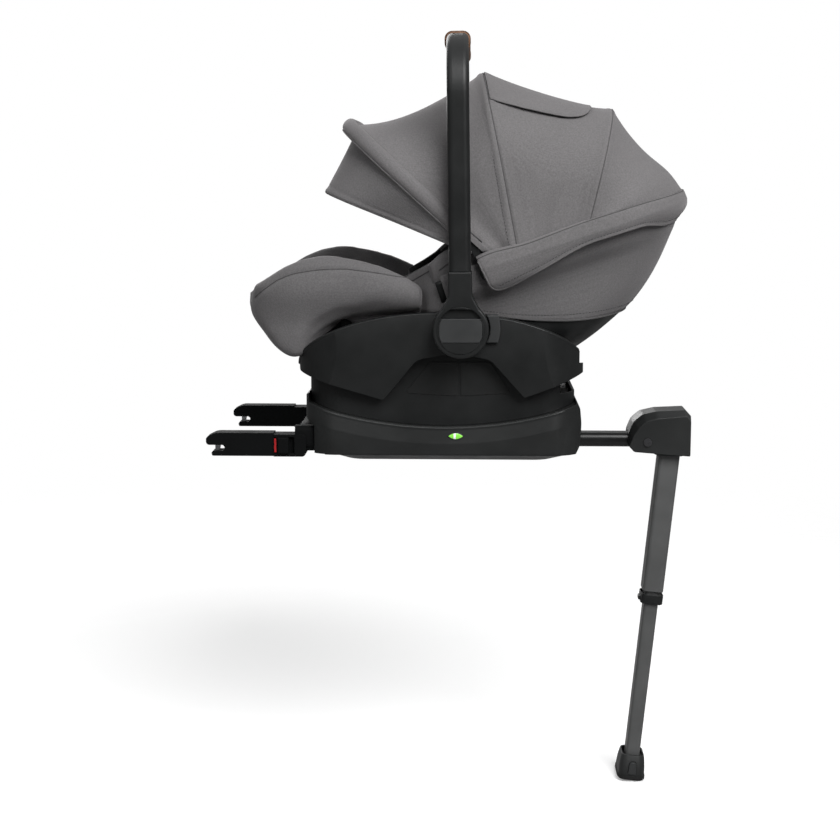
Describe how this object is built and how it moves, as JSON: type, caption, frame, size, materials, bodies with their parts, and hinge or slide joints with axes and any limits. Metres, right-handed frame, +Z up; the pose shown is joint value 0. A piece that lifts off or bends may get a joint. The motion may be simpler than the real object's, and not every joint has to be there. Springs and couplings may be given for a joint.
{
  "type": "infant car seat",
  "caption": "Rear-facing infant carrier with arch handle, padded leg rest and folding canopy, on a base with anchor connectors and a telescoping support leg.",
  "frame": {"origin": "centre of the base's flat rest face, straight below the handle's pivot axis", "axes": "+X from the foot end towards the head end and the support leg, +Y to the seat's left side, +Z up"},
  "size_m": [0.72, 0.446, 1.1421],
  "materials": {
    "shell": "fine moulded grain",
    "shell_soft": "satin moulded",
    "base": "moulded grain",
    "trim_grey": "satin moulded",
    "label": "smooth blank plate",
    "tube": "satin powder coat",
    "steel": "zinc plated",
    "rubber": "matte",
    "cloth": "woven melange",
    "cloth_dark": "woven melange",
    "lining": "knitted",
    "webbing": "woven webbing",
    "leather": "stitched leatherette",
    "lens_green": "gloss",
    "flag_red": "gloss",
    "button_red": "satin"
  },
  "bodies": {
    "base": {"base_tray": "base", "base_shell": "base", "base_pads": "rubber", "lock_indicators": "lens_green", "leg_boom": "tube", "leg_housing": "base", "leg_pivot_screw": "steel"},
    "anchors": {"anchor_tubes": "tube", "anchor_cross_tube": "tube", "anchor_connectors": "base", "anchor_flags": "flag_red"},
    "anchor_jaw_right": {"anchor_jaw_right": "steel"},
    "anchor_jaw_left": {"anchor_jaw_left": "steel"},
    "anchor_slider_right": {"anchor_slider_right": "trim_grey"},
    "anchor_slider_left": {"anchor_slider_left": "trim_grey"},
    "leg_upper": {"leg_knuckle": "base", "leg_outer_tube": "tube", "leg_collar": "base"},
    "leg_button": {"leg_button": "trim_grey"},
    "leg_lower": {"leg_inner_tube": "tube", "leg_guide": "base", "foot_body": "base", "foot_indicator": "trim_grey", "foot_sole": "rubber"},
    "carrier": {"carrier_shell": "shell", "recline_pins": "steel", "side_covers": "shell_soft", "label_plates": "label", "hub_caps": "shell_soft", "seat_pad": "lining", "crotch_strap": "webbing", "buckle_body": "shell_soft"},
    "handle_button_right": {"handle_button_right": "trim_grey"},
    "handle_button_left": {"handle_button_left": "trim_grey"},
    "recline_tab_right": {"recline_tab_right": "trim_grey"},
    "recline_tab_left": {"recline_tab_left": "trim_grey"},
    "buckle_button": {"buckle_button": "button_red"},
    "handle": {"handle_sockets": "shell_soft", "handle_bow": "shell_soft", "handle_grip": "leather"},
    "backrest": {"back_shell": "shell", "back_liner": "lining", "back_cover": "cloth_dark", "canopy_band": "cloth", "canopy_pins": "steel", "shoulder_straps": "webbing", "shoulder_pads": "lining", "canopy_rear_panel": "cloth", "canopy_rear_bow": "shell_soft"},
    "headrest": {"headrest": "lining"},
    "legrest": {"legrest": "cloth", "legrest_arms": "shell"},
    "canopy_mid": {"canopy_mid_bow": "shell_soft", "canopy_mid_panel": "cloth", "canopy_vent_flap": "cloth"},
    "canopy_front": {"canopy_front_bow": "shell_soft", "canopy_hem_roll": "cloth", "canopy_front_panel": "cloth"},
    "visor": {"canopy_visor_wire": "steel", "canopy_visor": "cloth"}
  },
  "joints": [
    {"name": "anchor_extend", "type": "slide", "parent": "base", "child": "anchors", "axis": [-1, 0, 0], "range_m": [0, 0.08]},
    {"name": "slider_right", "type": "slide", "parent": "anchors", "child": "anchor_slider_right", "axis": [1, 0, 0], "range_m": [0, 0.008], "stiffness_N_per_m": 500},
    {"name": "slider_left", "type": "slide", "parent": "anchors", "child": "anchor_slider_left", "axis": [1, 0, 0], "range_m": [0, 0.008], "stiffness_N_per_m": 500},
    {"name": "jaw_right", "type": "hinge", "parent": "anchors", "child": "anchor_jaw_right", "pos_m": [-0.327, -0.14, 0.0305], "axis": [0, 1, 0], "range_deg": [0, 24]},
    {"name": "jaw_left", "type": "hinge", "parent": "anchors", "child": "anchor_jaw_left", "pos_m": [-0.327, 0.14, 0.0305], "axis": [0, 1, 0], "range_deg": [0, 24]},
    {"name": "leg_fold", "type": "hinge", "parent": "base", "child": "leg_upper", "pos_m": [0.283, 0, 0.01], "axis": [0, 1, 0], "range_deg": [0, 84]},
    {"name": "leg_height", "type": "slide", "parent": "leg_upper", "child": "leg_lower", "axis": [-0.0969, 0, -0.9953], "range_m": [-0.13, 0.05]},
    {"name": "leg_release", "type": "slide", "parent": "leg_upper", "child": "leg_button", "axis": [0.9953, 0, -0.0969], "range_m": [0, 0.002], "stiffness_N_per_m": 800},
    {"name": "carrier_lift", "type": "slide", "parent": "base", "child": "carrier", "axis": [0, 0, 1], "range_m": [0, 0.25]},
    {"name": "handle_release_right", "type": "slide", "parent": "carrier", "child": "handle_button_right", "axis": [0, 1, 0], "range_m": [0, 0.004], "stiffness_N_per_m": 900},
    {"name": "handle_release_left", "type": "slide", "parent": "carrier", "child": "handle_button_left", "axis": [0, -1, 0], "range_m": [0, 0.004], "stiffness_N_per_m": 900},
    {"name": "recline_release_right", "type": "slide", "parent": "carrier", "child": "recline_tab_right", "axis": [0, 1, 0], "range_m": [0, 0.003], "stiffness_N_per_m": 900},
    {"name": "recline_release_left", "type": "slide", "parent": "carrier", "child": "recline_tab_left", "axis": [0, -1, 0], "range_m": [0, 0.003], "stiffness_N_per_m": 900},
    {"name": "buckle_release", "type": "slide", "parent": "carrier", "child": "buckle_button", "axis": [-1, 0, 0], "range_m": [0, 0.0018], "stiffness_N_per_m": 800},
    {"name": "handle_swing", "type": "hinge", "parent": "carrier", "child": "handle", "pos_m": [0, 0, 0.197], "axis": [0, 1, 0], "range_deg": [-95, 45]},
    {"name": "backrest_recline", "type": "hinge", "parent": "carrier", "child": "backrest", "pos_m": [0, 0, 0.197], "axis": [0, 1, 0], "range_deg": [0, 12]},
    {"name": "legrest_tilt", "type": "hinge", "parent": "carrier", "child": "legrest", "pos_m": [0, 0, 0.197], "axis": [0, 1, 0], "range_deg": [0, 6]},
    {"name": "headrest_height", "type": "slide", "parent": "backrest", "child": "headrest", "axis": [0.8988, 0, 0.4384], "range_m": [0, 0.02]},
    {"name": "canopy_fold", "type": "hinge", "parent": "backrest", "child": "canopy_mid", "pos_m": [0.036, 0, 0.274], "axis": [0, 1, 0], "range_deg": [0, 34], "deforming": ["canopy_mid_panel", "canopy_vent_flap"]},
    {"name": "canopy_front_fold", "type": "hinge", "parent": "canopy_mid", "child": "canopy_front", "pos_m": [0.036, 0, 0.274], "axis": [0, 1, 0], "range_deg": [0, 36], "deforming": ["canopy_front_panel"]},
    {"name": "visor_fold", "type": "hinge", "parent": "canopy_front", "child": "visor", "pos_m": [0.036, 0, 0.274], "axis": [0, 1, 0], "range_deg": [0, 13], "deforming": ["canopy_visor"]}
  ],
  "couplings": [
    {"joint": "jaw_right", "follows": "slider_right", "rad_per_m": 52.142},
    {"joint": "jaw_left", "follows": "slider_left", "rad_per_m": 52.142},
    {"joint": "legrest_tilt", "follows": "backrest_recline", "ratio": 0.5}
  ]
}
